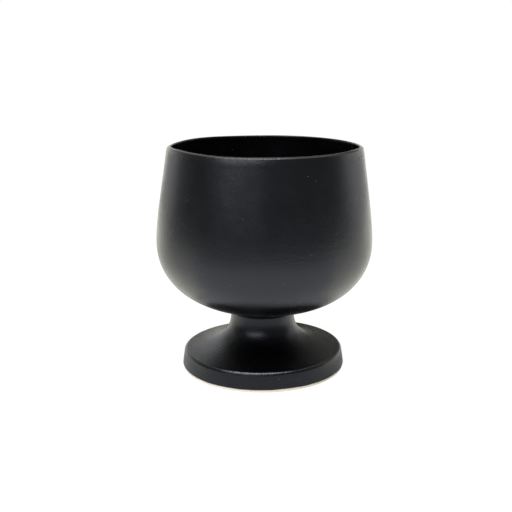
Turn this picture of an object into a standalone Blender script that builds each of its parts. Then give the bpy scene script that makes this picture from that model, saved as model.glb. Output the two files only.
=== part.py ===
"""Footed serving bowl in stoneware: a thrown bowl luted with slip onto a hollow pedestal foot.

Satin black glaze coats the bowl inside and out, and the outside of the foot down to a line just
above the table, where the cream clay of the foot ring is left bare. Metres, +Z up, with the origin
at the centre of the ring that the foot stands on.
"""

import math

import bpy
from mathutils import Vector
from mathutils.geometry import interpolate_bezier

# Bowl, measured over the glaze, with heights from the seam where it meets the foot
BOWL_HEIGHT = 0.1515
RIM_RADIUS = 0.0894
BELLY_RADIUS = 0.1000
BELLY_HEIGHT = 0.0635
LIP_THICKNESS = 0.0038
BASE_WALL_THICKNESS = 0.0065
FLOOR_THICKNESS = 0.0050

# Curve of the bowl's outside: the lean of the wall at the rim and of the underside at the seam, and
# how full the curve is at each end, as a share of its own rise or run
RIM_LEAN = math.radians(7.5)
RIM_FULLNESS = 0.44
BELLY_UPPER_FULLNESS = 0.235
BELLY_LOWER_FULLNESS = 0.50
UNDERSIDE_FULLNESS = 0.66
UNDERSIDE_LEAN = math.radians(6.8)

# Hand-thrown rim: waves round the turn as (count, height, direction of a crest), and the depth
# below the lip at which they have faded out
RIM_WAVES = (
    (3, 0.00030, math.radians(-29)),
    (4, 0.00026, math.radians(43)),
    (5, 0.00021, math.radians(-11)),
    (6, 0.00017, math.radians(27)),
)
RIM_WAVE_DEPTH = 0.0450

# Pedestal foot, measured over the glaze, with heights from the table
FOOT_HEIGHT = 0.0571
NECK_RADIUS = 0.0297
FOOT_RADIUS = 0.0769
EDGE_SETBACK = 0.0048
EDGE_HEIGHT = 0.0178
EDGE_ROUNDING = 0.0038
FOOT_WALL_THICKNESS = 0.0060
FOOT_RING_WIDTH = 0.0085
FOOT_RING_ROUNDING = 0.0008

# Curve of the foot's flare, given as the bowl's is
NECK_FULLNESS = 0.51
FLARE_FULLNESS = 0.83
FLARE_LEAN = math.radians(11)

# Coat, and the joint with its collar of slip smoothed into the corner under the bowl
GLAZE_THICKNESS = 0.0004
GLAZE_LINE_HEIGHT = 0.0027
SLIP_THICKNESS = 0.0015
COLLAR_RADIUS = 0.0070
FIT_GAP = 0.0001

# Facets round a full turn, and points along each stretch of an outline
TURN_FACETS = 48
WALL_POINTS = 5
UNDERSIDE_POINTS = 9
FLOOR_POINTS = 3
LIP_POINTS = 5
FLARE_POINTS = 8
EDGE_POINTS = 4
COLLAR_POINTS = 7
RING_POINTS = 3
MERGE_DISTANCE = 0.00001
SHARP_ANGLE = math.radians(50)

# Finishes: linear colour, roughness and metallic value
BLACK_GLAZE = ((0.012, 0.012, 0.014), 0.45, 0.0)
CREAM_CLAY = ((0.80, 0.72, 0.60), 0.85, 0.0)
CREAM_SLIP = ((0.72, 0.64, 0.52), 0.90, 0.0)

# Depth of the clay below the glazed surface, and the heights of the seam's faces from the table
CLAY_DEPTH = GLAZE_THICKNESS + FIT_GAP
SLIP_TOP = FOOT_HEIGHT + CLAY_DEPTH - FIT_GAP
SLIP_BOTTOM = SLIP_TOP - SLIP_THICKNESS
FOOT_TOP = SLIP_BOTTOM - FIT_GAP


def point(radius, height):
    """A point of a turned outline."""
    return Vector((radius, height))


def direction(angle):
    """Unit vector at an angle above the outward radial direction."""
    return Vector((math.cos(angle), math.sin(angle)))


def arc(centre, radius, start, end, count):
    """Points of a circular arc, both ends included."""
    return [centre + radius * direction(start + (end - start) * i / (count - 1)) for i in range(count)]


def inward(outline):
    """For each point of an outline, the step that moves its edges one unit to the right of their run."""
    runs = [(b - a).normalized() for a, b in zip(outline, outline[1:])]
    normals = [point(run.y, -run.x) for run in runs]
    steps = []
    for before, after in zip(normals[:1] + normals, normals + normals[-1:]):
        middle = (before + after).normalized()
        steps.append(middle / middle.dot(after))
    return steps


def offset(outline, depth):
    """The outline moved into its material by a depth, with a point on the axis kept on it."""
    moved = [p + depth * step for p, step in zip(outline, inward(outline))]
    return [point(q.x if p.x > 0 else 0, q.y) for p, q in zip(outline, moved)]


def coat(surface):
    """Outline of the glaze that has a surface as its outer face."""
    return surface + offset(surface, GLAZE_THICKNESS)[::-1]


def bowl_outside():
    """Outer face of the bowl from the lip, over the belly, to the seam with the foot."""
    rim = point(RIM_RADIUS, BOWL_HEIGHT - LIP_THICKNESS / 2 * (1 - math.sin(RIM_LEAN)))
    belly = point(BELLY_RADIUS, BELLY_HEIGHT)
    seam = point(NECK_RADIUS, 0)
    rise = rim.y - belly.y
    run = belly.x - seam.x
    wall = interpolate_bezier(
        rim,
        rim + RIM_FULLNESS * rise * direction(RIM_LEAN - math.pi / 2),
        belly + point(0, BELLY_UPPER_FULLNESS * rise),
        belly,
        WALL_POINTS,
    )
    underside = interpolate_bezier(
        belly,
        belly - point(0, BELLY_LOWER_FULLNESS * belly.y),
        seam + UNDERSIDE_FULLNESS * run * direction(UNDERSIDE_LEAN),
        seam,
        UNDERSIDE_POINTS,
    )
    return wall + underside[1:]


def bowl_inside(outside):
    """Inner face from the lip to the axis, in a wall that thickens evenly on its way down."""
    growth = (BASE_WALL_THICKNESS - LIP_THICKNESS) / (len(outside) - 1)
    thicknesses = [LIP_THICKNESS + growth * i for i in range(len(outside))]
    wall = [p + depth * step for p, depth, step in zip(outside, thicknesses, inward(outside))]
    edge = wall[-1]
    middle = point(0, FLOOR_THICKNESS)
    floor = interpolate_bezier(
        edge,
        edge - edge.x / 3 * direction(UNDERSIDE_LEAN),
        middle + point(edge.x / 3, 0),
        middle,
        FLOOR_POINTS,
    )
    return wall + floor[1:]


def bowl_surface():
    """Glazed face of the bowl: from the middle of the floor, over the lip, to the seam."""
    outside = bowl_outside()
    inside = bowl_inside(outside)
    lip_centre = (outside[0] + inside[0]) / 2
    lip = arc(lip_centre, LIP_THICKNESS / 2, math.pi + RIM_LEAN, RIM_LEAN, LIP_POINTS)
    return inside[::-1] + lip[1:-1] + outside


def collar(depth, trim):
    """Hollow curve from the underside of the bowl into the neck.

    It lies at a depth below the glazed surface, and both its ends are trimmed until they are clear of
    the clay by that much.
    """
    outer, seam = bowl_outside()[-2:]
    lean = math.atan2(outer.y - seam.y, outer.x - seam.x)
    drop = COLLAR_RADIUS * (1 / math.cos(lean) - math.tan(lean))
    centre = point(NECK_RADIUS + COLLAR_RADIUS, FOOT_HEIGHT - drop)
    radius = COLLAR_RADIUS + depth
    cut = math.acos(1 - trim / radius)
    return arc(centre, radius, math.pi / 2 + lean + cut, math.pi - cut, COLLAR_POINTS)


def foot_flare():
    """Neck and concave flare of the foot, from the seam to the edge above its band."""
    neck = collar(0, 0)[-1]
    edge = point(FOOT_RADIUS - EDGE_SETBACK, EDGE_HEIGHT)
    flare = interpolate_bezier(
        neck,
        neck - point(0, NECK_FULLNESS * (neck.y - edge.y)),
        edge - FLARE_FULLNESS * (edge.x - neck.x) * direction(-FLARE_LEAN),
        edge,
        FLARE_POINTS,
    )
    return [point(NECK_RADIUS, FOOT_HEIGHT)] + flare


def foot_surface():
    """Glazed face of the foot: the flare, its rounded edge, and the band down to the glaze line."""
    flare = foot_flare()
    glaze_line = point(FOOT_RADIUS, GLAZE_LINE_HEIGHT)
    upright = math.pi / 2 - FLARE_LEAN
    centre = flare[-1] - EDGE_ROUNDING * direction(upright)
    reach = glaze_line - centre
    band_lean = math.atan2(reach.y, reach.x) + math.acos(EDGE_ROUNDING / reach.length)
    return flare + arc(centre, EDGE_ROUNDING, upright, band_lean, EDGE_POINTS)[1:] + [glaze_line]


def foot_hollow():
    """Inner face of the foot, from the foot ring up the well to the neck."""
    ring_radius = FOOT_RADIUS - FOOT_RING_WIDTH
    well = [p for p in offset(foot_flare(), FOOT_WALL_THICKNESS) if p.x < ring_radius]
    overrun = ring_radius - well[-1].x
    corner = point(ring_radius, well[-1].y - overrun * math.tan(FLARE_LEAN))
    return [corner] + well[:0:-1] + [point(well[0].x, FOOT_TOP)]


def turned(outline):
    """Mesh turned from an outline that runs down its outer side, and ends on the axis or is closed."""
    count = len(outline)
    edges = [(i, i + 1) for i in range(count - 1)]
    if outline[-1].x > 0:
        edges.append((count - 1, 0))
    profile = bpy.data.meshes.new("profile")
    profile.from_pydata([(p.x, 0, p.y) for p in outline], edges, [])
    blank = bpy.data.objects.new("blank", profile)
    bpy.context.scene.collection.objects.link(blank)
    screw = blank.modifiers.new("Turn", "SCREW")
    screw.steps = TURN_FACETS
    screw.render_steps = TURN_FACETS
    screw.use_merge_vertices = True
    screw.merge_threshold = MERGE_DISTANCE
    mesh = bpy.data.meshes.new_from_object(blank.evaluated_get(bpy.context.evaluated_depsgraph_get()))
    bpy.data.objects.remove(blank)
    bpy.data.meshes.remove(profile)
    return mesh


def wave_rim(mesh):
    """Let the rim rise and fall as it left the wheel, less and less down the wall."""
    for vertex in mesh.vertices:
        turn = math.atan2(vertex.co.y, vertex.co.x)
        wave = sum(height * math.cos(count * (turn - crest)) for count, height, crest in RIM_WAVES)
        share = max(0, 1 - (BOWL_HEIGHT - vertex.co.z) / RIM_WAVE_DEPTH)
        vertex.co.z += wave * share * share * (3 - 2 * share)
    return mesh


def bowl_body():
    """Thrown clay bowl, flat underneath where the foot is luted on."""
    clay = offset(bowl_surface(), CLAY_DEPTH)
    seat = [point(clay[-1].x, CLAY_DEPTH), point(0, CLAY_DEPTH)]
    return wave_rim(turned(clay[:-1] + seat))


def bowl_glaze():
    """Black coat over the floor, wall, lip and underside, ending where the foot's coat begins."""
    end = collar(0, 0)[0] - point(0, FOOT_HEIGHT)
    return wave_rim(turned(coat(bowl_surface()[:-1] + [end])))


def foot_body():
    """Thrown clay pedestal, open below, on a bare foot ring with softened edges."""
    clay = offset(foot_surface(), CLAY_DEPTH)
    clay[0].y = FOOT_TOP
    outer = clay[-1].x - FOOT_RING_ROUNDING
    inner = FOOT_RADIUS - FOOT_RING_WIDTH + FOOT_RING_ROUNDING
    heel = arc(point(outer, FOOT_RING_ROUNDING), FOOT_RING_ROUNDING, 0, -math.pi / 2, RING_POINTS)
    toe = arc(point(inner, FOOT_RING_ROUNDING), FOOT_RING_ROUNDING, -math.pi / 2, -math.pi, RING_POINTS)
    return turned(clay + heel + toe + foot_hollow())


def foot_glaze():
    """Black coat outside the foot, from the underside of the bowl down to the glaze line."""
    hollow = collar(0, 0)
    hollow[0] += FIT_GAP * (hollow[1] - hollow[0]).normalized()
    return turned(coat(hollow[:-1] + foot_surface()[1:]))


def slip_joint():
    """Ring of luting slip between the bowl and the foot, with its collar round the top of the neck."""
    neck_face = NECK_RADIUS - CLAY_DEPTH + FIT_GAP
    inner = NECK_RADIUS - FOOT_WALL_THICKNESS
    corners = ((neck_face, SLIP_BOTTOM), (inner, SLIP_BOTTOM), (inner, SLIP_TOP), (NECK_RADIUS, SLIP_TOP))
    return turned(collar(CLAY_DEPTH, FIT_GAP) + [point(*corner) for corner in corners])


def finish(name, colour, roughness, metallic):
    """Plain material with the colour and gloss of the real surface."""
    material = bpy.data.materials.new(name)
    material.use_nodes = True
    shader = material.node_tree.nodes["Principled BSDF"]
    shader.inputs["Base Color"].default_value = (*colour, 1)
    shader.inputs["Roughness"].default_value = roughness
    shader.inputs["Metallic"].default_value = metallic
    return material


def place(name, mesh, look, height, parent, collection):
    """Add a piece at its height above the table, smooth where it is round."""
    mesh.name = name
    mesh.shade_smooth()
    mesh.set_sharp_from_angle(angle=SHARP_ANGLE)
    mesh.materials.append(finish(name + "_finish", *look))
    piece = bpy.data.objects.new(name, mesh)
    piece.location.z = height
    piece.parent = parent
    collection.objects.link(piece)


def main():
    """Build the bowl and its foot on an empty at the point where they stand."""
    for old in list(bpy.data.objects):
        bpy.data.objects.remove(old)
    collection = bpy.data.collections.new("footed_serving_bowl")
    bpy.context.scene.collection.children.link(collection)
    stand = bpy.data.objects.new("stand_point", None)
    collection.objects.link(stand)
    place("bowl_body", bowl_body(), CREAM_CLAY, FOOT_HEIGHT, stand, collection)
    place("bowl_glaze", bowl_glaze(), BLACK_GLAZE, FOOT_HEIGHT, stand, collection)
    place("foot_body", foot_body(), CREAM_CLAY, 0, stand, collection)
    place("foot_glaze", foot_glaze(), BLACK_GLAZE, 0, stand, collection)
    place("slip_joint", slip_joint(), CREAM_SLIP, 0, stand, collection)


main()
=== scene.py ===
"""Footed serving bowl in satin black stoneware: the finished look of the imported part.

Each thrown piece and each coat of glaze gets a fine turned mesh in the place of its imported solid. The
waves of the rim, the slow dents of hand throwing and the uneven glaze line are in the geometry, and the
grain of the glaze and the clay is in their materials. Metres, +Z up.
"""

import logging
import math
from collections.abc import Callable, Mapping
from dataclasses import dataclass, field
from enum import Enum

import bpy
import numpy as np
from mathutils import Euler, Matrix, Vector


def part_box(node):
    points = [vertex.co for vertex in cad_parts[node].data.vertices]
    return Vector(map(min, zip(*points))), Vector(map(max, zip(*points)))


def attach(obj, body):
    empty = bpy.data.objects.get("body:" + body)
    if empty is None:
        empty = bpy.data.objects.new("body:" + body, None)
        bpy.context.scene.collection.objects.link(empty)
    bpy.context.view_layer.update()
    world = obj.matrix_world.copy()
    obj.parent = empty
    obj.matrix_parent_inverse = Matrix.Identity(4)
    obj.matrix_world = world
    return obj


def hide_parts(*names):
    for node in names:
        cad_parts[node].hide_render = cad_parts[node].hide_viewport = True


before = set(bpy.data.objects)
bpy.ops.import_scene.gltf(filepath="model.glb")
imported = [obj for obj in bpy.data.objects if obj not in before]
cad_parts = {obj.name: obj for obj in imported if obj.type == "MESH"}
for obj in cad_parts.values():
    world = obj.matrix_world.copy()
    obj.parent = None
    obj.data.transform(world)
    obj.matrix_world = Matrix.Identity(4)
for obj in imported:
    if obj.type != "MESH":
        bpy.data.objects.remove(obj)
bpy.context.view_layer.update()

log = logging.getLogger("footed_bowl")

MM = 0.001
BODY = "root"
WHITE = "#FFFFFF"
WARM_WHITE = "#FFFEF2"

# Facets round a full turn, points along each stretch of an outline, and the angle of a sharp edge
FACETS = 192
WALL_POINTS = 32
UNDERSIDE_POINTS = 40
FLOOR_POINTS = 14
LIP_POINTS = 12
ARRIS_POINTS = 9
SHOULDER_POINTS = 9
COLLAR_POINTS = 12
FLARE_POINTS = 40
EDGE_POINTS = 16
BAND_POINTS = 14
BEAD_POINTS = 7
CARD_FACETS = 32
TABLE_FACETS = 64
SHARP = math.radians(50)

# Values that a noise texture mostly keeps between
NOISE_LOW = 0.3
NOISE_HIGH = 0.7

# Places turned points: takes their radius, height and angle round the turn, and gives x, y and z
Shaper = Callable[[np.ndarray, np.ndarray, np.ndarray], np.ndarray]

# Ring of a card: its radius and height in metres, and its tone
Ring = tuple[float, float, float]


class Node(Enum):
    """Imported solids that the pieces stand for."""

    BOWL_BODY = "bowl_body"
    BOWL_GLAZE = "bowl_glaze"
    FOOT_BODY = "foot_body"
    FOOT_GLAZE = "foot_glaze"
    SLIP_JOINT = "slip_joint"

    def low(self) -> Vector:
        """Lowest corner of the solid's box."""
        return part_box(self.value)[0]

    def high(self) -> Vector:
        """Highest corner of the solid's box."""
        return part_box(self.value)[1]


class Slot(Enum):
    """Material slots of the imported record."""

    BLACK_GLAZE = "black_glaze"
    CREAM_CLAY = "cream_clay"
    CREAM_SLIP = "cream_slip"


def linear(colour: str) -> tuple[float, float, float, float]:
    """Turn an sRGB hex colour into linear light.

    Args:
        colour: Six hex digits after a hash sign.

    Returns:
        Linear red, green and blue, and an alpha of 1.
    """
    shares = [int(colour[i : i + 2], 16) / 255 for i in (1, 3, 5)]
    red, green, blue = [s / 12.92 if s <= 0.04045 else ((s + 0.055) / 1.055) ** 2.4 for s in shares]
    return red, green, blue, 1.0


def per_metre(size_mm: float) -> float:
    """Texture scale at which one feature of a pattern measures size_mm."""
    return 1 / (size_mm * MM)


def add_node(
    tree: bpy.types.NodeTree,
    kind: str,
    inputs: Mapping[str | int, object] | None = None,
    **settings: object,
) -> bpy.types.Node:
    """Add a shader node with its settings and links.

    Args:
        tree: Node tree that gets the node.
        kind: Blender's name for the kind of node.
        inputs: Input names or numbers, each with another node's socket or a plain value.
        settings: Properties of the node itself.

    Returns:
        The new node.
    """
    node = tree.nodes.new(kind)
    for name, value in settings.items():
        setattr(node, name, value)
    for name, value in (inputs or {}).items():
        if isinstance(value, bpy.types.NodeSocket):
            tree.links.new(value, node.inputs[name])
        else:
            node.inputs[name].default_value = value
    return node


def empty_material(name: str) -> bpy.types.Material:
    """Make a material whose node tree holds nothing yet.

    Args:
        name: Name of the material.

    Returns:
        The material.
    """
    material = bpy.data.materials.new(name)
    material.use_nodes = True
    material.node_tree.nodes.clear()
    return material


def point(radius: float, height: float) -> np.ndarray:
    """A point of a turned outline."""
    return np.array([radius, height])


def heading(angle: float | np.ndarray) -> np.ndarray:
    """Unit vectors at angles above the outward radial direction."""
    return np.stack([np.cos(angle), np.sin(angle)], axis=-1)


def arc(centre: np.ndarray, radius: float, start: float, end: float, count: int) -> np.ndarray:
    """Points of a circular arc from a start angle to an end angle, both included, one a row."""
    return centre + radius * heading(np.linspace(start, end, count))


def bezier(
    start: np.ndarray, leave: np.ndarray, arrive: np.ndarray, end: np.ndarray, count: int
) -> np.ndarray:
    """Points of a cubic curve.

    Args:
        start: First point.
        leave: Handle by which the curve leaves the first point.
        arrive: Handle by which it comes to the last point.
        end: Last point.
        count: Number of points, both ends included.

    Returns:
        The points, one a row.
    """
    t = np.linspace(0, 1, count)[:, None]
    s = 1 - t
    return s**3 * start + 3 * s**2 * t * leave + 3 * s * t**2 * arrive + t**3 * end


def inward(outline: np.ndarray) -> np.ndarray:
    """Find how the points of an outline move when its edges move one unit to the right of their run.

    Args:
        outline: Points, one a row.

    Returns:
        A step for each point.
    """
    runs = np.diff(outline, axis=0)
    runs /= np.linalg.norm(runs, axis=1, keepdims=True)
    normals = np.stack([runs[:, 1], -runs[:, 0]], axis=1)
    before = np.vstack([normals[:1], normals])
    after = np.vstack([normals, normals[-1:]])
    middle = before + after
    middle /= np.linalg.norm(middle, axis=1, keepdims=True)
    return middle / np.sum(middle * after, axis=1, keepdims=True)


def offset(outline: np.ndarray, depth: float | np.ndarray) -> np.ndarray:
    """Move an outline into its material.

    Args:
        outline: Points with the material to the right of their run.
        depth: One depth, or a column with a depth for each point.

    Returns:
        The moved outline, with a point on the axis kept on it.
    """
    moved = outline + depth * inward(outline)
    moved[outline[:, 0] == 0, 0] = 0
    return moved


def ease(share: np.ndarray) -> np.ndarray:
    """Smooth step from 0 to 1."""
    held = np.clip(share, 0, 1)
    return held * held * (3 - 2 * held)


def turned_mesh(name: str, outline: np.ndarray, shaper: Shaper) -> bpy.types.Mesh:
    """Turn an outline into a closed, smooth mesh.

    Args:
        name: Name of the mesh.
        outline: Points that run down the outer side, and either start and end on the axis or join up.
        shaper: Places the turned points.

    Returns:
        The mesh.
    """
    turn = np.linspace(0, 2 * math.pi, FACETS, endpoint=False)
    poled = outline[-1, 0] == 0
    rings = outline[1:-1] if poled else outline
    points = shaper(rings[:, :1], rings[:, 1:], turn[None, :]).reshape(-1, 3)
    ids = np.arange(len(points)).reshape(-1, FACETS)
    upper = ids[:-1] if poled else ids
    lower = ids[1:] if poled else np.roll(ids, -1, axis=0)
    corners = [upper, lower, np.roll(lower, -1, axis=1), np.roll(upper, -1, axis=1)]
    faces = np.stack(corners, axis=-1).reshape(-1, 4).tolist()
    if poled:
        poles = outline[[0, -1]]
        first, last = len(points), len(points) + 1
        points = np.vstack([points, shaper(poles[:, :1], poles[:, 1:], turn[None, :1]).reshape(-1, 3)])
        faces += [(first, a, b) for a, b in zip(ids[0].tolist(), np.roll(ids[0], -1).tolist())]
        faces += [(last, b, a) for a, b in zip(ids[-1].tolist(), np.roll(ids[-1], -1).tolist())]
    mesh = bpy.data.meshes.new(name)
    mesh.from_pydata(points.tolist(), [], faces)
    mesh.shade_smooth()
    mesh.set_sharp_from_angle(angle=SHARP)
    return mesh


@dataclass(frozen=True)
class Wave:
    """One wave round the turn: its count of crests, height in mm, where a crest lies, and its twist."""

    count: int
    height_mm: float
    crest_deg: float
    twist_deg_per_mm: float = 0.0

    def at(self, turn: np.ndarray, height: np.ndarray | float = 0.0) -> np.ndarray:
        """Displacement at angles round the turn, where the crests turn as they climb."""
        twist = math.radians(self.twist_deg_per_mm) * (np.asarray(height) / MM)
        return self.height_mm * MM * np.cos(self.count * (turn - math.radians(self.crest_deg)) + twist)


def sum_of(waves: tuple[Wave, ...], turn: np.ndarray, height: np.ndarray | float = 0.0) -> np.ndarray:
    """Displacement of several waves together."""
    return sum(wave.at(turn, height) for wave in waves)


@dataclass(frozen=True)
class SatinBlackGlaze:
    """Satin black stoneware glaze, dipped and fired.

    Fine crystals on the cooled surface scatter the light, so it gleams softly and never mirrors. The coat
    has a faint peel where it flowed, slow swells where it lies thicker, and a few pinholes where gas left
    the clay and made a pale, dry pit.
    """

    name: str = "satin_black_stoneware_glaze"
    thick: str = "#000000"
    thin: str = "#010102"
    pinhole: str = "#5E5E5C"
    gleam: str = "#E6EBF8"
    ior: float = 1.66
    roughness_low: float = 0.24
    roughness_high: float = 0.28
    # The real crystals are near 0.2 mm, and are drawn coarser so that they show
    grain_mm: float = 1.5
    grain_roughness: float = 0.7
    grain_depth_mm: float = 0.20
    peel_mm: float = 5.0
    peel_depth_mm: float = 0.04
    swell_mm: float = 24.0
    swell_depth_mm: float = 0.12
    cloud_mm: float = 16.0
    pinhole_spacing_mm: float = 11.0
    pinhole_mm: float = 0.45

    def material(self) -> bpy.types.Material:
        """Build the finish, or find it if it is there already.

        Returns:
            The material.
        """
        if self.name in bpy.data.materials:
            return bpy.data.materials[self.name]
        material = empty_material(self.name)
        tree = material.node_tree
        place = add_node(tree, "ShaderNodeTexCoord").outputs["Object"]
        noise = "ShaderNodeTexNoise"
        clouds = add_node(tree, noise, {"Vector": place, "Scale": per_metre(self.cloud_mm), "Detail": 1.0})
        swell = add_node(tree, noise, {"Vector": place, "Scale": per_metre(self.swell_mm), "Detail": 0.0})
        peel = add_node(tree, noise, {"Vector": place, "Scale": per_metre(self.peel_mm), "Detail": 1.0})
        grain = add_node(
            tree,
            noise,
            {
                "Vector": place,
                "Scale": per_metre(self.grain_mm),
                "Detail": 2.0,
                "Roughness": self.grain_roughness,
            },
        )
        cells = add_node(
            tree,
            "ShaderNodeTexVoronoi",
            {"Vector": place, "Scale": per_metre(self.pinhole_spacing_mm)},
        )
        rim = self.pinhole_mm / self.pinhole_spacing_mm
        pit = add_node(
            tree,
            "ShaderNodeMapRange",
            {"Value": cells.outputs["Distance"], "From Min": rim, "From Max": rim / 2},
        )
        coat = add_node(
            tree,
            "ShaderNodeMix",
            {"Factor": clouds.outputs["Fac"], "A": linear(self.thick), "B": linear(self.thin)},
            data_type="RGBA",
        )
        colour = add_node(
            tree,
            "ShaderNodeMix",
            {"Factor": pit.outputs["Result"], "A": coat.outputs["Result"], "B": linear(self.pinhole)},
            data_type="RGBA",
        )
        roughness = add_node(
            tree,
            "ShaderNodeMapRange",
            {
                "Value": clouds.outputs["Fac"],
                "From Min": NOISE_LOW,
                "From Max": NOISE_HIGH,
                "To Min": self.roughness_low,
                "To Max": self.roughness_high,
            },
        )
        normal = None
        for layer, depth_mm in (
            (swell, self.swell_depth_mm),
            (peel, self.peel_depth_mm),
            (grain, self.grain_depth_mm),
        ):
            inputs = {"Height": layer.outputs["Fac"], "Strength": 1.0, "Distance": depth_mm * MM}
            if normal:
                inputs["Normal"] = normal
            normal = add_node(tree, "ShaderNodeBump", inputs).outputs["Normal"]
        shader = add_node(
            tree,
            "ShaderNodeBsdfPrincipled",
            {
                "Base Color": colour.outputs["Result"],
                "Roughness": roughness.outputs["Result"],
                "IOR": self.ior,
                "Specular Tint": linear(self.gleam),
                "Normal": normal,
            },
        )
        add_node(tree, "ShaderNodeOutputMaterial", {"Surface": shader.outputs["BSDF"]})
        return material


@dataclass(frozen=True)
class BareStoneware:
    """Cream stoneware, thrown, turned and fired with no glaze.

    The bare clay is dry and chalky, with fine sand that stands out of it, warmer tan patches where the
    kiln flashed it, and a few dark grains of iron.
    """

    name: str = "bare_cream_stoneware"
    clay: str = "#F0E9DD"
    flashed: str = "#E2D6C3"
    iron: str = "#8A6A48"
    ior: float = 1.5
    roughness: float = 0.85
    flash_mm: float = 18.0
    sand_mm: float = 0.6
    sand_depth_mm: float = 0.08
    iron_spacing_mm: float = 6.0
    iron_mm: float = 0.3

    def material(self) -> bpy.types.Material:
        """Build the finish, or find it if it is there already.

        Returns:
            The material.
        """
        if self.name in bpy.data.materials:
            return bpy.data.materials[self.name]
        material = empty_material(self.name)
        tree = material.node_tree
        place = add_node(tree, "ShaderNodeTexCoord").outputs["Object"]
        noise = "ShaderNodeTexNoise"
        flash = add_node(tree, noise, {"Vector": place, "Scale": per_metre(self.flash_mm), "Detail": 4.0})
        sand = add_node(tree, noise, {"Vector": place, "Scale": per_metre(self.sand_mm), "Detail": 3.0})
        cells = add_node(
            tree,
            "ShaderNodeTexVoronoi",
            {"Vector": place, "Scale": per_metre(self.iron_spacing_mm)},
        )
        rim = self.iron_mm / self.iron_spacing_mm
        speck = add_node(
            tree,
            "ShaderNodeMapRange",
            {"Value": cells.outputs["Distance"], "From Min": rim, "From Max": rim / 2},
        )
        body = add_node(
            tree,
            "ShaderNodeMix",
            {"Factor": flash.outputs["Fac"], "A": linear(self.clay), "B": linear(self.flashed)},
            data_type="RGBA",
        )
        colour = add_node(
            tree,
            "ShaderNodeMix",
            {"Factor": speck.outputs["Result"], "A": body.outputs["Result"], "B": linear(self.iron)},
            data_type="RGBA",
        )
        grit = add_node(
            tree,
            "ShaderNodeBump",
            {"Height": sand.outputs["Fac"], "Strength": 1.0, "Distance": self.sand_depth_mm * MM},
        )
        shader = add_node(
            tree,
            "ShaderNodeBsdfPrincipled",
            {
                "Base Color": colour.outputs["Result"],
                "Roughness": self.roughness,
                "IOR": self.ior,
                "Normal": grit.outputs["Normal"],
            },
        )
        add_node(tree, "ShaderNodeOutputMaterial", {"Surface": shader.outputs["BSDF"]})
        return material


Finish = SatinBlackGlaze | BareStoneware


def add_piece(name: str, mesh: bpy.types.Mesh, finish: Finish, node: Node) -> None:
    """Put a mesh in the scene as a piece of the object.

    Args:
        name: Name of the piece.
        mesh: Its mesh, in place.
        finish: What it is made of.
        node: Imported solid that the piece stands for.
    """
    mesh.materials.append(finish.material())
    piece = bpy.data.objects.new(name, mesh)
    bpy.context.scene.collection.objects.link(piece)
    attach(piece, BODY)
    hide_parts(node.value)
    log.info("%s: %d faces of %s, in place of %s", name, len(mesh.polygons), finish.name, node.value)


@dataclass(frozen=True)
class Seam:
    """Sizes at the joint of the bowl and the foot that their pieces share, measured over the glaze."""

    neck_radius: float = 29.7 * MM
    collar_radius: float = 7.0 * MM
    glaze_thickness: float = 0.4 * MM
    fit_gap: float = 0.1 * MM

    @property
    def clay_depth(self) -> float:
        """Depth of the clay below the glazed surface."""
        return self.glaze_thickness + self.fit_gap

    @property
    def height(self) -> float:
        """Height of the seam above the table."""
        return Node.BOWL_BODY.low().z - self.clay_depth


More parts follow.
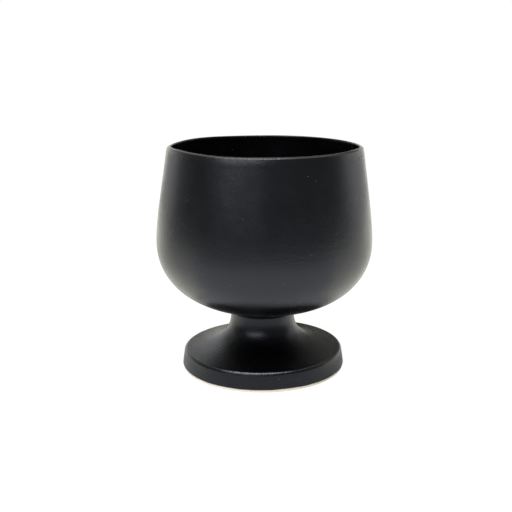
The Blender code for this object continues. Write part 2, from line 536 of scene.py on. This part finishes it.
@dataclass(frozen=True)
class HandThrown:
    """Slow unevenness of a pot that was thrown, joined and set down by hand.

    It moves all the pieces alike, so that clay, slip and coats stay together. Between two heights at the
    seam the foot's shape gives way to the bowl's.
    """

    seam: float
    joint_below: float = 7 * MM
    joint_above: float = 1 * MM

    # Waves that lift the rim, dents that push the wall in and out, and how the bowl leans and sits aside
    rim: float = field(default_factory=lambda: Node.BOWL_GLAZE.high().z)
    rim_waves: tuple[Wave, ...] = (
        Wave(1, 0.49, 55),
        Wave(3, 0.30, -29),
        Wave(4, 0.26, 43),
        Wave(5, 0.21, -11),
        Wave(6, 0.17, 27),
    )
    rim_wave_depth: float = 45 * MM
    belly_radius: float = field(default_factory=lambda: Node.BOWL_GLAZE.high().x)
    bowl_dents: tuple[Wave, ...] = (
        Wave(2, 0.15, 90, 0.3),
        Wave(3, 0.10, 75, -1.0),
        Wave(5, 0.05, 140, 1.8),
        Wave(1, 0.012, 0, 50),
    )
    bowl_lean: float = math.radians(0.7)
    bowl_aside: float = 1.3 * MM
    aside_from: float = 38 * MM
    aside_to: float = 68 * MM

    # Dents round the foot, the sag of its edge, and how its neck leans
    flange_from: float = 31 * MM
    flange_to: float = 77 * MM
    foot_dents: tuple[Wave, ...] = (Wave(2, 0.10, 45), Wave(3, 0.05, 10), Wave(5, 0.03, 30))
    sag: tuple[Wave, ...] = (Wave(1, 0.58, -32), Wave(2, 0.16, 40), Wave(3, 0.13, 70))
    sag_from: float = 3 * MM
    sag_to: float = 14 * MM
    foot_lean: float = math.radians(-0.4)

    def place(self, radius: np.ndarray, height: np.ndarray, turn: np.ndarray) -> np.ndarray:
        """Place turned points where the potter's hands left them.

        Args:
            radius: Radius of each point of the true turned form.
            height: Its height above the table.
            turn: Its angle round the turn.

        Returns:
            The points' x, y and z along the last axis.
        """
        rise = height - self.seam
        bowl = ease((rise + self.joint_below) / (self.joint_below + self.joint_above))
        flange = (1 - bowl) * ease((radius - self.flange_from) / (self.flange_to - self.flange_from))
        reach = radius + bowl * ease(radius / self.belly_radius) * sum_of(self.bowl_dents, turn, rise)
        reach = reach + flange * sum_of(self.foot_dents, turn)
        settled = ease((height - self.sag_from) / (self.sag_to - self.sag_from))
        lift = ease(1 - (self.rim - height) / self.rim_wave_depth) * sum_of(self.rim_waves, turn)
        lift = lift + flange * settled * sum_of(self.sag, turn)
        aside = bowl * self.bowl_aside * ease((radius - self.aside_from) / (self.aside_to - self.aside_from))
        aside = aside + self.foot_lean * np.minimum(height, self.seam) + self.bowl_lean * np.maximum(rise, 0)
        tilt = bowl * self.bowl_lean * radius * np.cos(turn)
        axes = (reach * np.cos(turn) + aside, reach * np.sin(turn), height + lift - tilt)
        return np.stack(np.broadcast_arrays(*axes), axis=-1)


@dataclass
class Bowl:
    """Thrown bowl with its coat of glaze, measured over the glaze, with heights from the seam."""

    seam: Seam
    hand: HandThrown
    belly_radius: float = field(default_factory=lambda: Node.BOWL_GLAZE.high().x)
    height: float = 151.5 * MM
    rim_radius: float = 89.4 * MM
    belly_height: float = 63.5 * MM
    lip_thickness: float = 3.8 * MM
    base_wall_thickness: float = 6.5 * MM
    floor_thickness: float = 5.0 * MM

    # Lean of the wall at the rim and of the underside at the seam, how full the curve is at each end, and
    # how the wall curls in to a lip that rounds off outwards from a fine inner edge
    rim_lean: float = math.radians(7.5)
    rim_fullness: float = 0.44
    shoulder_depth: float = 6.0 * MM
    shoulder_setback: float = 0.4 * MM
    shoulder_lean: float = math.radians(16)
    lip_drop: float = 1.4 * MM
    lip_slope: float = math.radians(4)
    lip_fullness: float = 0.55
    arris_rounding: float = 0.8 * MM
    belly_upper_fullness: float = 0.235
    belly_lower_fullness: float = 0.50
    underside_fullness: float = 0.66
    underside_lean: float = math.radians(6.8)

    def wall(self) -> np.ndarray:
        """Draw the outer face from the lip down to the belly.

        Returns:
            Its points, with heights from the table as in all the outlines.
        """
        rim = point(self.rim_radius, self.seam.height + self.height - self.lip_drop)
        belly = point(self.belly_radius, self.seam.height + self.belly_height)
        rise = rim[1] - belly[1]
        leave = rim + self.rim_fullness * rise * heading(self.rim_lean - math.pi / 2)
        arrive = belly + point(0, self.belly_upper_fullness * rise)
        wall = bezier(rim, leave, arrive, belly, WALL_POINTS)
        wall = wall[wall[:, 1] < rim[1] - self.shoulder_depth]
        edge = rim - point(self.shoulder_setback, 0)
        third = np.linalg.norm(wall[0] - edge) / 3
        leave = edge + third * heading(self.shoulder_lean - math.pi / 2)
        arrive = wall[0] - third * heading(self.rim_lean - math.pi / 2)
        return np.vstack([bezier(edge, leave, arrive, wall[0], SHOULDER_POINTS), wall[1:]])

    def underside(self) -> np.ndarray:
        """Draw the outer face from the belly to the seam.

        Returns:
            Its points.
        """
        belly = point(self.belly_radius, self.seam.height + self.belly_height)
        seam = point(self.seam.neck_radius, self.seam.height)
        leave = belly - point(0, self.belly_lower_fullness * self.belly_height)
        run = belly[0] - seam[0]
        arrive = seam + self.underside_fullness * run * heading(self.underside_lean)
        return bezier(belly, leave, arrive, seam, UNDERSIDE_POINTS)

    def outside(self) -> np.ndarray:
        """Outer face from the lip, over the belly, to the seam."""
        return np.vstack([self.wall(), self.underside()[1:]])

    def inside(self) -> np.ndarray:
        """Draw the inner face from the lip to the axis, in a wall that thickens evenly on its way down.

        Returns:
            Its points.
        """
        outside = self.outside()
        thickness = np.linspace(self.lip_thickness, self.base_wall_thickness, len(outside))[:, None]
        wall = offset(outside, thickness)
        edge = wall[-1]
        middle = point(0, self.seam.height + self.floor_thickness)
        third = edge[0] / 3
        leave = edge - third * heading(self.underside_lean)
        floor = bezier(edge, leave, middle + point(third, 0), middle, FLOOR_POINTS)
        return np.vstack([wall, floor[1:]])

    def lip(self) -> np.ndarray:
        """Draw the lip from its fine inner edge over to the outer face, to which it rounds off.

        Returns:
            Its points, without the two that lie on the faces.
        """
        outer = self.outside()[0]
        soft = self.arris_rounding
        centre = point(self.inside()[0, 0] + soft, self.seam.height + self.height - soft)
        arris = arc(centre, soft, math.pi, math.pi / 2 - self.lip_slope, ARRIS_POINTS)
        across, fall = self.lip_fullness * abs(outer - arris[-1])
        leave = arris[-1] + across * heading(-self.lip_slope)
        arrive = outer - fall * heading(self.shoulder_lean - math.pi / 2)
        return np.vstack([arris, bezier(arris[-1], leave, arrive, outer, LIP_POINTS)[1:-1]])

    def collar(self, depth: float = 0.0, trim: float = 0.0) -> np.ndarray:
        """Draw the hollow curve that leads from the underside into the neck.

        Args:
            depth: How far below the glazed surface it lies.
            trim: How far its two ends stay clear of the clay.

        Returns:
            Its points, from the underside down to the neck.
        """
        underside = self.underside()[::-1]
        centres = offset(underside[::-1], -self.seam.collar_radius)[::-1]
        across = self.seam.neck_radius + self.seam.collar_radius
        centre = point(across, np.interp(across, centres[:, 0], centres[:, 1]))
        touch = [np.interp(across, centres[:, 0], column) for column in underside.T] - centre
        radius = self.seam.collar_radius + depth
        cut = math.acos(1 - trim / radius)
        return arc(centre, radius, math.atan2(touch[1], touch[0]) + cut, math.pi - cut, COLLAR_POINTS)

    def build(self, glaze: SatinBlackGlaze, clay: BareStoneware) -> None:
        """Make the clay bowl and its coat.

        Args:
            glaze: Finish of the coat.
            clay: Finish of the clay, which is flat underneath where the foot is luted on.
        """
        inner = np.vstack([self.inside()[::-1], self.lip()])
        outside = self.outside()
        seat = self.seam.height + self.seam.clay_depth
        body = offset(np.vstack([inner, outside]), self.seam.clay_depth)[:-1]
        body = np.vstack([body, point(self.seam.neck_radius, seat), point(0, seat)])
        mesh = turned_mesh("bowl_clay", body, self.hand.place)
        add_piece("bowl_clay", mesh, clay, Node.BOWL_BODY)
        end = self.collar()[:1]
        surface = np.vstack([inner, outside[outside[:, 0] > end[0, 0]], end])
        coat = np.vstack([surface, offset(surface, self.seam.glaze_thickness)[::-1]])
        mesh = turned_mesh("bowl_coat", coat, self.hand.place)
        add_piece("bowl_coat", mesh, glaze, Node.BOWL_GLAZE)


@dataclass
class Foot:
    """Thrown pedestal with its coat of glaze, measured over the glaze, with heights from the table."""

    seam: Seam
    hand: HandThrown
    collar: np.ndarray
    clay_top: float = field(default_factory=lambda: Node.FOOT_BODY.high().z)
    radius: float = field(default_factory=lambda: Node.FOOT_GLAZE.high().x)
    glaze_line: float = field(default_factory=lambda: Node.FOOT_GLAZE.low().z)
    edge_setback: float = 4.8 * MM
    edge_height: float = 17.8 * MM
    edge_rounding: float = 3.8 * MM
    wall_thickness: float = 6.0 * MM
    ring_width: float = 8.5 * MM
    ring_rounding: float = 0.8 * MM
    neck_fullness: float = 0.51
    flare_fullness: float = 0.83
    flare_lean: float = math.radians(11)

    # Waver of the line where the glaze was wiped off, and how far up the coat it is felt
    line_waves: tuple[Wave, ...] = (
        Wave(4, 0.10, 15),
        Wave(9, 0.08, 5),
        Wave(17, 0.06, 11),
        Wave(31, 0.04, 3),
    )
    line_wave_height: float = 6 * MM

    def flare(self) -> np.ndarray:
        """Draw the neck and the concave flare, from the collar to the edge above the band.

        Returns:
            Their points.
        """
        neck = self.collar[-1]
        edge = point(self.radius - self.edge_setback, self.edge_height)
        leave = neck - point(0, self.neck_fullness * (neck[1] - edge[1]))
        run = edge[0] - neck[0]
        arrive = edge - self.flare_fullness * run * heading(-self.flare_lean)
        return bezier(neck, leave, arrive, edge, FLARE_POINTS)

    def surface(self) -> np.ndarray:
        """Draw the face from the neck over the flare and its rounded edge, down the band to the glaze line.

        Returns:
            Its points.
        """
        flare = self.flare()
        line = point(self.radius, self.glaze_line)
        upright = math.pi / 2 - self.flare_lean
        centre = flare[-1] - self.edge_rounding * heading(upright)
        reach = line - centre
        lean = math.atan2(reach[1], reach[0]) + math.acos(self.edge_rounding / np.linalg.norm(reach))
        edge = arc(centre, self.edge_rounding, upright, lean, EDGE_POINTS)
        band = np.linspace(edge[-1], line, BAND_POINTS)
        return np.vstack([flare, edge[1:], band[1:]])

    def ring(self, outer: float) -> np.ndarray:
        """Draw the foot ring's underside with its softened edges.

        Args:
            outer: Radius of the clay at the ring.

        Returns:
            Its points, from the outer edge to the inner one.
        """
        soft = self.ring_rounding
        inner = self.radius - self.ring_width
        heel = arc(point(outer - soft, soft), soft, 0, -math.pi / 2, BEAD_POINTS)
        toe = arc(point(inner + soft, soft), soft, -math.pi / 2, -math.pi, BEAD_POINTS)
        return np.vstack([heel, toe])

    def hollow(self) -> np.ndarray:
        """Draw the inner face, from the foot ring up the well to the neck.

        Returns:
            Its points.
        """
        ring = self.radius - self.ring_width
        well = offset(self.flare(), self.wall_thickness)
        well = well[well[:, 0] < ring]
        corner = point(ring, well[-1, 1] - (ring - well[-1, 0]) * math.tan(self.flare_lean))
        return np.vstack([corner, well[::-1], point(well[0, 0], self.clay_top)])

    def place_coat(self, radius: np.ndarray, height: np.ndarray, turn: np.ndarray) -> np.ndarray:
        """Place the coat's points as the clay's, with a wavering line where it was wiped off.

        Args:
            radius: Radius of each point of the true turned form.
            height: Its height above the table.
            turn: Its angle round the turn.

        Returns:
            The points' x, y and z along the last axis.
        """
        share = ease(1 - (height - self.glaze_line) / self.line_wave_height)
        return self.hand.place(radius, height + share * sum_of(self.line_waves, turn), turn)

    def build(self, glaze: SatinBlackGlaze, clay: BareStoneware) -> None:
        """Make the clay foot and its coat, which ends in a bead at the glaze line.

        Args:
            glaze: Finish of the coat.
            clay: Finish of the clay.
        """
        surface = self.surface()
        body = offset(surface, self.seam.clay_depth)
        top = point(body[0, 0], self.clay_top)
        body = np.vstack([top, body, self.ring(body[-1, 0]), self.hollow()])
        mesh = turned_mesh("foot_clay", body, self.hand.place)
        add_piece("foot_clay", mesh, clay, Node.FOOT_BODY)
        surface = np.vstack([self.collar[:-1], surface])
        half = self.seam.glaze_thickness / 2
        bead = arc(surface[-1] - point(half, 0), half, 0, -math.pi, BEAD_POINTS)
        back = offset(surface, self.seam.glaze_thickness)[-2::-1]
        mesh = turned_mesh("foot_coat", np.vstack([surface[:-1], bead, back]), self.place_coat)
        add_piece("foot_coat", mesh, glaze, Node.FOOT_GLAZE)


@dataclass
class SlipRing:
    """Ring of luting slip between the bowl and the foot, with its collar round the top of the neck."""

    seam: Seam
    hand: HandThrown
    collar: np.ndarray
    foot_top: float = field(default_factory=lambda: Node.FOOT_BODY.high().z)
    width: float = 6.0 * MM

    def build(self, slip: BareStoneware) -> None:
        """Make the ring, bulging a little inside the neck where it was squeezed.

        Args:
            slip: Finish of the fired slip.
        """
        high = self.seam.height + self.seam.glaze_thickness
        low = self.foot_top + self.seam.fit_gap
        inner = self.seam.neck_radius - self.width
        bead = arc(point(inner, (low + high) / 2), (high - low) / 2, math.pi * 1.5, math.pi / 2, BEAD_POINTS)
        face = point(self.collar[-1, 0], low)
        outline = np.vstack([self.collar, face, bead, point(self.seam.neck_radius, high)])
        mesh = turned_mesh("slip_ring", outline, self.hand.place)
        add_piece("slip_ring", mesh, slip, Node.SLIP_JOINT)


@dataclass(frozen=True)
class Softbox:
    """Flat lamp that hangs in a given direction from the middle of the bowl and faces it.

    Its layers are shares of its size, one over the other, so that its face can fade towards its edge.
    """

    name: str
    azimuth_deg: float
    elevation_deg: float
    distance: float
    width: float
    depth: float
    radiance: float
    roll_deg: float = 0.0
    layers: tuple[float, ...] = (1.0,)

    def hang(self, target: Vector) -> None:
        """Make the lamp, at the power that gives the middle of its face this radiance.

        Args:
            target: Point that it faces.
        """
        turn, rise = math.radians(self.azimuth_deg), math.radians(self.elevation_deg)
        away = Vector((math.sin(turn) * math.cos(rise), -math.cos(turn) * math.cos(rise), math.sin(rise)))
        roll = Euler((0, 0, math.radians(self.roll_deg))).to_quaternion()
        for share in self.layers:
            data = bpy.data.lights.new(self.name, "AREA")
            data.shape = "RECTANGLE"
            data.size = self.width * share
            data.size_y = self.depth * share
            data.energy = self.radiance / len(self.layers) * math.pi * data.size * data.size_y
            lamp = bpy.data.objects.new(self.name, data)
            lamp.location = target + self.distance * away
            lamp.rotation_euler = (away.to_track_quat("Z", "Y") @ roll).to_euler()
            bpy.context.scene.collection.objects.link(lamp)


@dataclass(frozen=True)
class Card:
    """Curved card of glowing paper round the bowl, which only the gloss of the glaze sees.

    It spans part of the turn round the bowl, with the front at 0 degrees and the right at 90.
    """

    name: str
    rings: tuple[Ring, ...]
    azimuth_from_deg: float = -180.0
    azimuth_to_deg: float = 180.0
    paper: str = WARM_WHITE

    def paint(self) -> bpy.types.Material:
        """Make the card's finish, which takes its tone from the mesh.

        Returns:
            The material.
        """
        material = empty_material(self.name)
        tree = material.node_tree
        tone = add_node(tree, "ShaderNodeAttribute", attribute_name="tone").outputs["Fac"]
        glow = add_node(tree, "ShaderNodeEmission", {"Color": linear(self.paper), "Strength": tone})
        add_node(tree, "ShaderNodeOutputMaterial", {"Surface": glow.outputs["Emission"]})
        # The gloss finds the card by itself, and the card doesn't act as a lamp
        material.cycles.emission_sampling = "NONE"
        return material

    def stand(self) -> None:
        """Make the card and stand it in its place."""
        turns = np.radians(np.linspace(self.azimuth_from_deg, self.azimuth_to_deg, CARD_FACETS + 1))
        points = [(r * math.sin(a), -r * math.cos(a), z) for r, z, _ in self.rings for a in turns]
        ids = np.arange(len(points)).reshape(len(self.rings), -1)
        corners = [ids[:-1, :-1], ids[:-1, 1:], ids[1:, 1:], ids[1:, :-1]]
        mesh = bpy.data.meshes.new(self.name)
        mesh.from_pydata(points, [], np.stack(corners, axis=-1).reshape(-1, 4).tolist())
        tones = mesh.attributes.new("tone", "FLOAT", "POINT")
        tones.data.foreach_set("value", np.repeat([tone for _, _, tone in self.rings], len(turns)))
        mesh.materials.append(self.paint())
        card = bpy.data.objects.new(self.name, mesh)
        card.visible_camera = False
        card.visible_diffuse = False
        card.visible_shadow = False
        bpy.context.scene.collection.objects.link(card)


def flat(*spots: tuple[float, float], height: float = 2 * MM) -> tuple[Ring, ...]:
    """Rings of a card that lies over the table, from radii with a tone each. Laid over the table, its tones
    are painted light and shade on it, which only the gloss sees.
    """
    return tuple((radius, height, tone) for radius, tone in spots)


def upright(radius: float, *spots: tuple[float, float]) -> tuple[Ring, ...]:
    """Rings of a card that stands at one radius, from heights with a tone each."""
    return tuple((radius, height, tone) for height, tone in spots)


# Rings that two cards share: over the table beside the bowl's back, and behind the bowl, with the bowl's
# painted shadow on the table in their low tones near it and painted light on the table in their higher tones
# farther out
BESIDE_BACK = flat((0.095, 0.3), (0.14, 0.9), (0.22, 1.3), (0.50, 1.3), (0.80, 1.5), (1.50, 1.2))
BEHIND = flat((0.078, 0.05), (0.14, 0.10), (0.22, 0.60), (0.50, 1.25), (0.80, 1.50), (1.50, 1.20))
# Rings of painted shadow all the way out, where the bowl shades the table behind it on the right
PAINTED_SHADOW_BEHIND = flat((0.078, 0.03), (0.14, 0.04), (0.22, 0.10), (0.50, 0.20), (0.80, 0.25), (1.50, 0.30))


def background_ray(tree: bpy.types.NodeTree) -> bpy.types.NodeSocket:
    """Add nodes that tell whether a ray shows the background: to the camera, in gloss or through glass.

    Args:
        tree: Node tree that gets the nodes.

    Returns:
        A socket that is 1 for such a ray and 0 for others.
    """
    path = add_node(tree, "ShaderNodeLightPath").outputs
    pair = {0: path["Is Camera Ray"], 1: path["Is Glossy Ray"]}
    either = add_node(tree, "ShaderNodeMath", pair, operation="MAXIMUM")
    pair = {0: either.outputs["Value"], 1: path["Is Transmission Ray"]}
    return add_node(tree, "ShaderNodeMath", pair, operation="MAXIMUM").outputs["Value"]


@dataclass
class Studio:
    """White table and surroundings, soft light from above, and a camera a little above the rim."""

    lens_mm: float = 57.44
    camera_distance: float = 743.7 * MM
    camera_height: float = 289.7 * MM
    camera_pitch_deg: float = 13.96
    camera_yaw_deg: float = 0.47
    camera_roll_deg: float = -0.4
    bowl_middle: Vector = field(default_factory=lambda: Vector((0, 0, 130 * MM)))
    table_radius: float = 6.0
    table_gap: float = 0.1 * MM
    table_paint: str = "#D0D0CE"
    ambient: float = 0.46

    # What the table shows to the camera and to the gloss: its own glow, and how much shade it keeps
    table_glow: float = 0.96
    table_shade: float = 0.08
    gloss_glow: float = 0.10
    gloss_shade: float = 0.54

    lamps: tuple[Softbox, ...] = (
        Softbox(
            "overhead_softbox",
            azimuth_deg=-20.5,
            elevation_deg=64,
            distance=2.4,
            width=2.50,
            depth=0.60,
            radiance=15.5,
            roll_deg=17,
        ),
        Softbox(
            "front_softbox",
            azimuth_deg=-25.5,
            elevation_deg=26.0,
            distance=1.3,
            width=0.85,
            depth=0.20,
            radiance=8.2,
            roll_deg=8.5,
            layers=(0.5, 0.9, 1.3),
        ),
    )
    cards: tuple[Card, ...] = (
        Card(
            "front_card",
            flat((0.30, 0.90), (0.45, 0.75), (0.90, 0.60), height=1 * MM)
            + upright(1.6, (0.02, 0.20), (0.20, 0.145), (0.38, 0.175), (0.60, 0.20), (1.80, 0.20)),
            -112,
            98,
            WHITE,
        ),
        Card("left_wall_card", upright(1.5, (0.20, 0.40), (0.90, 0.40)), -116, -95),
        Card("right_wall_card", upright(1.5, (0.0, 0.30), (0.90, 0.30)), 84, 98),
        # The two table cards beside the bowl hold painted light on the table, brighter than the table itself,
        # and painted shade in their inner ring by the foot
        Card(
            "left_table_card",
            flat((0.095, 0.5), (0.125, 1.25), (0.20, 1.35), (0.30, 1.1), (0.60, 1.05), (1.20, 1.1)),
            -128,
            -67,
        ),
        Card(
            "right_table_card",
            flat((0.095, 0.5), (0.125, 1.2), (0.20, 1.3), (0.30, 1.15), (0.60, 1.1), (1.20, 1.1)),
            67,
            125,
        ),
        Card("left_back_table_card", BESIDE_BACK, -152, -128),
        Card("right_back_table_card", BESIDE_BACK, 125, 150),
        Card("back_table_card", BEHIND, 178, 208),
        Card("painted_shadow_far_table_card", PAINTED_SHADOW_BEHIND, 163, 178),
        Card("right_far_table_card", BEHIND, 150, 163),
        Card(
            "right_back_wall_card",
            upright(1.6, (0.0, 0.80), (0.08, 0.80), (0.13, 0.22), (1.80, 0.12)),
            144,
            164,
        ),
        Card(
            "back_wall_card",
            upright(1.6, (0.0, 0.02), (0.16, 0.03), (0.30, 0.26), (1.80, 0.12)),
            164,
            181,
        ),
        Card(
            "left_back_wall_card",
            upright(1.6, (0.0, 0.80), (0.08, 0.80), (0.13, 0.11), (1.80, 0.11)),
            181,
            195,
        ),
        Card("rim_card", upright(0.17, (0.155, 1.2), (0.185, 1.5), (0.235, 1.5)), 118, 240),
        Card("left_back_card", upright(1.5, (0.55, 0.40), (1.60, 0.40)), -142, -118),
        Card("right_back_card", upright(1.5, (0.50, 0.40), (1.60, 0.40)), 110, 142),
        Card("ceiling_card", flat((3.2, 1.0), (0.01, 1.0), height=3.2)),
    )

    def set_camera(self) -> None:
        """Put the camera where the photograph was taken from."""
        data = bpy.data.cameras.new("camera")
        data.lens = self.lens_mm
        camera = bpy.data.objects.new("camera", data)
        camera.location = (0, -self.camera_distance, self.camera_height)
        pitch = math.radians(90 - self.camera_pitch_deg)
        aim = Euler((pitch, 0, math.radians(self.camera_yaw_deg))).to_matrix()
        roll = Euler((0, 0, math.radians(self.camera_roll_deg))).to_matrix()
        camera.rotation_euler = (aim @ roll).to_euler()
        bpy.context.scene.collection.objects.link(camera)
        bpy.context.scene.camera = camera

    def table_finish(self) -> bpy.types.Material:
        """Make the table's white paint, which shows the background but keeps the bowl's shadow.

        Returns:
            The material.
        """
        material = empty_material("white_table_paint")
        tree = material.node_tree
        paint = add_node(tree, "ShaderNodeBsdfDiffuse", {"Color": linear(self.table_paint)})
        camera = add_node(tree, "ShaderNodeLightPath").outputs["Is Camera Ray"]
        share = {"Value": camera, "To Min": self.gloss_shade, "To Max": self.table_shade}
        shade = add_node(tree, "ShaderNodeMapRange", share).outputs["Result"]
        share = {"Value": camera, "To Min": self.gloss_glow, "To Max": self.table_glow}
        light = add_node(tree, "ShaderNodeMapRange", share).outputs["Result"]
        lit = add_node(tree, "ShaderNodeBsdfDiffuse", {"Color": shade})
        glow = add_node(tree, "ShaderNodeEmission", {"Strength": light})
        seen = add_node(tree, "ShaderNodeAddShader", {0: lit.outputs["BSDF"], 1: glow.outputs["Emission"]})
        both = {0: background_ray(tree), 1: paint.outputs["BSDF"], 2: seen.outputs["Shader"]}
        mix = add_node(tree, "ShaderNodeMixShader", both)
        add_node(tree, "ShaderNodeOutputMaterial", {"Surface": mix.outputs["Shader"]})
        return material

    def lay_table(self) -> None:
        """Lay the table under the bowl, a hair below the foot ring, so that no two faces lie in one plane."""
        mesh = bpy.data.meshes.new("table")
        turns = np.linspace(0, 2 * math.pi, TABLE_FACETS, endpoint=False)
        rim = self.table_radius
        edge = [(rim * math.cos(a), rim * math.sin(a), -self.table_gap) for a in turns]
        mesh.from_pydata(edge, [], [list(range(len(edge)))])
        mesh.materials.append(self.table_finish())
        table = bpy.data.objects.new("table", mesh)
        bpy.context.scene.collection.objects.link(table)

    def paint_world(self) -> None:
        """Surround the bowl with white, which lights it less than it shows."""
        world = bpy.data.worlds.new("white_surroundings")
        world.use_nodes = True
        tree = world.node_tree
        tree.nodes.clear()
        share = {"Value": background_ray(tree), "To Min": self.ambient, "To Max": 1.0}
        strength = add_node(tree, "ShaderNodeMapRange", share).outputs["Result"]
        white = add_node(tree, "ShaderNodeBackground", {"Color": linear(WHITE), "Strength": strength})
        add_node(tree, "ShaderNodeOutputWorld", {"Surface": white.outputs["Background"]})
        bpy.context.scene.world = world

    def build(self) -> None:
        """Set up the whole studio."""
        self.set_camera()
        self.lay_table()
        self.paint_world()
        for lamp in self.lamps:
            lamp.hang(self.bowl_middle)
        for card in self.cards:
            card.stand()
        bpy.context.scene.view_settings.view_transform = "Standard"


def main() -> None:
    """Build the bowl, its foot and the studio."""
    glaze = SatinBlackGlaze()
    # The foot's coat is a copy of the glaze with a lower IOR, so it gleams less than the bowl's
    low_gleam_foot_glaze = SatinBlackGlaze(name="low_gleam_satin_black_stoneware_glaze", ior=1.54)
    clay = BareStoneware()
    slip = BareStoneware(name="fired_luting_slip", clay="#DCCFB8", flashed="#CFBFA3")
    seam = Seam()
    hand = HandThrown(seam.height)
    bowl = Bowl(seam, hand)
    bowl.build(glaze, clay)
    Foot(seam, hand, bowl.collar()).build(low_gleam_foot_glaze, clay)
    SlipRing(seam, hand, bowl.collar(seam.clay_depth, seam.fit_gap)).build(slip)
    Studio().build()


if __name__ == "__main__":
    logging.basicConfig(level=logging.INFO)
    main()
